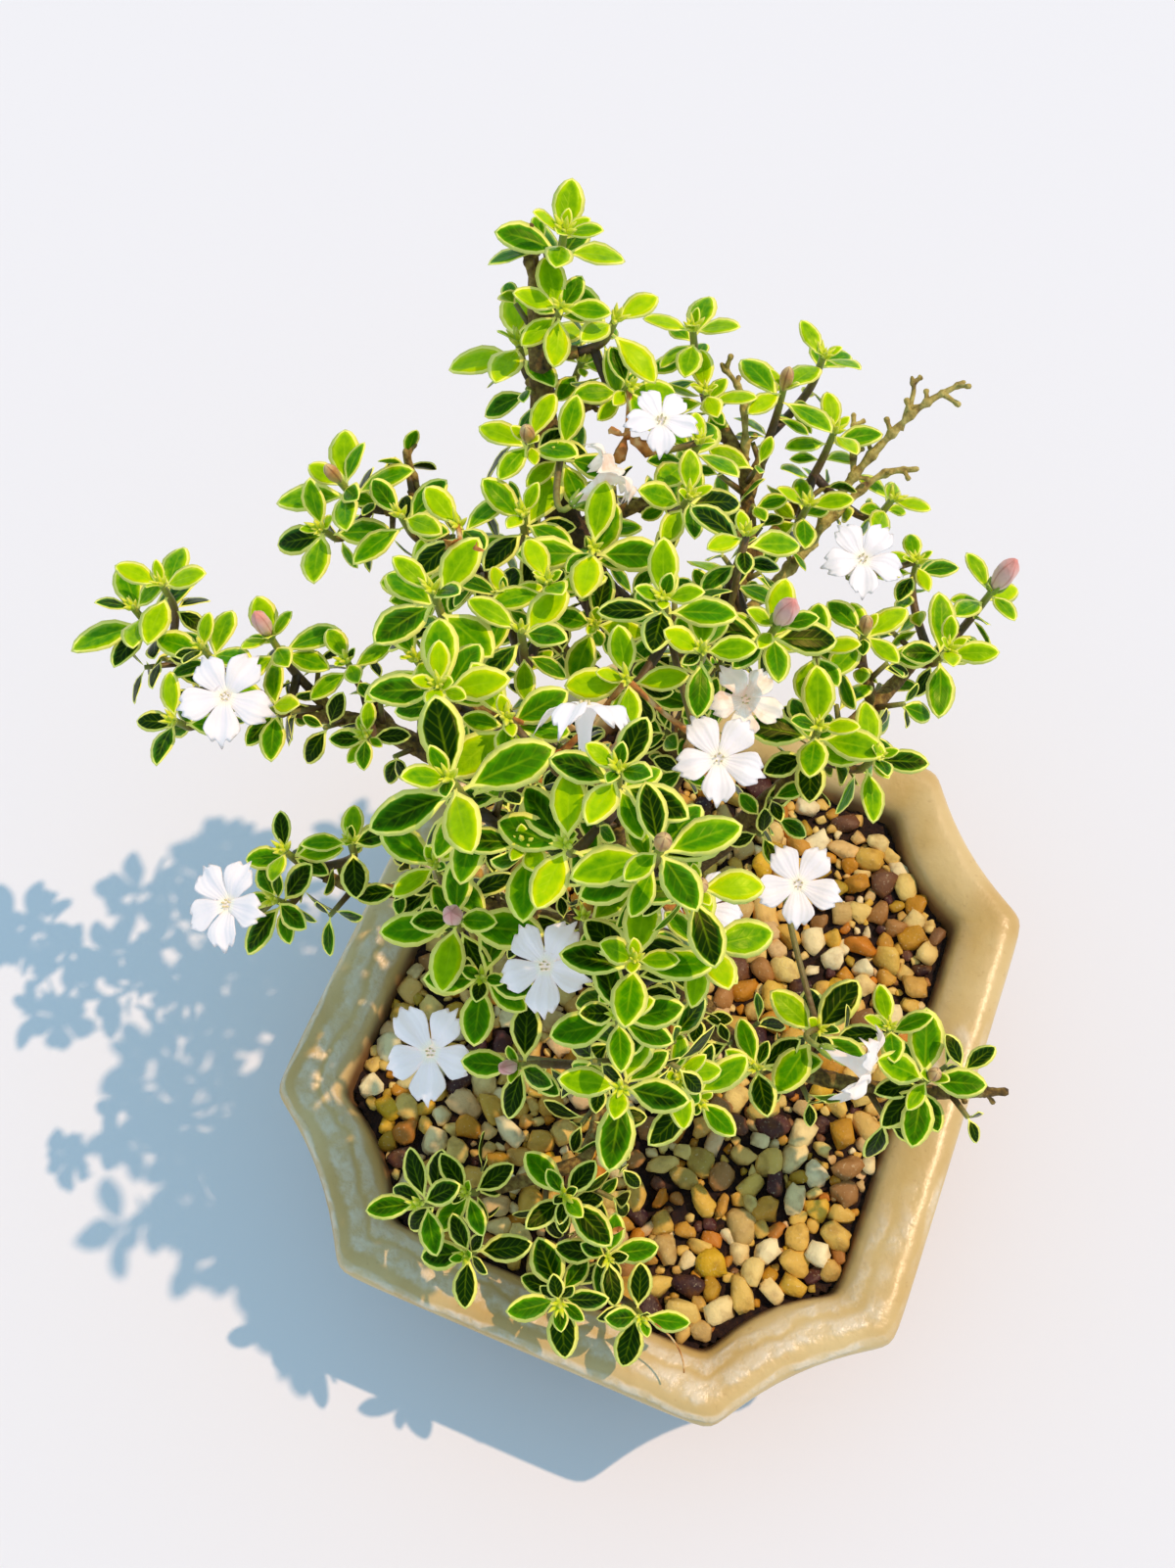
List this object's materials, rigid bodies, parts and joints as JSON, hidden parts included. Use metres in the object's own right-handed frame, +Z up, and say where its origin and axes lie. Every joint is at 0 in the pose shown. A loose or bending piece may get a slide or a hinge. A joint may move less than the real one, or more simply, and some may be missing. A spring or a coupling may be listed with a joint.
{
  "type": "serissa bonsai in a pot",
  "caption": "Small bonsai of variegated serissa in flower, growing in a tan glazed pot with scalloped corners and a top dressing of gravel.",
  "frame": {"origin": "on the surface the pot stands on, at the centre of the whole object's box in X and Y", "axes": "+Z up; the pot's sides follow X and Y, with its longer sides along Y; the front of the tree faces -Y"},
  "size_m": [0.1432, 0.1318, 0.14],
  "materials": {
    "pot": "caramel tan glaze with pale crackled streaks, brown where it is thin",
    "screen": "dark matt mesh",
    "soil": "near-black damp soil",
    "gravel": "mixed ochre, cream, orange-brown, white and pinkish pebbles",
    "wood": "rough dark grey-brown bark, olive-tan on the twigs",
    "leaf": "satin yellow-green leaf with a cream margin",
    "petal": "soft white petal with a faint lilac tint",
    "bud": "satin pink bud"
  },
  "bodies": {
    "root": {"pot": "pot", "drain_screen_front": "screen", "drain_screen_back": "screen", "soil": "soil", "gravel": "gravel", "trunk": "wood", "apex_left": "leaf", "apex_right": "leaf", "apex_tip": "leaf", "back_bud": "leaf", "back_left": "leaf", "back_low": "leaf", "centre_a": "leaf", "centre_b": "leaf", "crown_back": "leaf", "crown_left_a": "leaf", "crown_left_b": "leaf", "crown_left_c": "leaf", "crown_left_d": "leaf", "crown_left_e": "leaf", "crown_left_f": "leaf", "crown_top": "leaf", "far_left": "leaf", "front_a": "leaf", "front_b": "leaf", "front_low": "leaf", "hang_left": "leaf", "hang_right": "leaf", "high_left_inner": "leaf", "high_left_tip": "leaf", "left_bud": "leaf", "left_inner": "leaf", "left_star": "leaf", "low_left_inner": "leaf", "low_left_tip": "leaf", "low_right_inner": "leaf", "low_right_tip": "leaf", "right_low": "leaf", "right_mid": "leaf", "right_tip": "leaf", "shoulder_left": "leaf", "shoulder_right": "leaf", "flower_back": "petal", "flower_back_right": "petal", "flower_centre": "petal", "flower_crown": "petal", "flower_far_left": "petal", "flower_front": "petal", "flower_front_left": "petal", "flower_low_left": "petal", "flower_low_right": "petal", "flower_mid": "petal", "flower_right": "petal", "flower_shoulder": "petal", "flower_under": "petal", "bud_crown": "bud", "bud_front": "bud", "bud_front_left": "bud", "bud_left": "bud", "bud_right": "bud"}
  },
  "joints": []
}
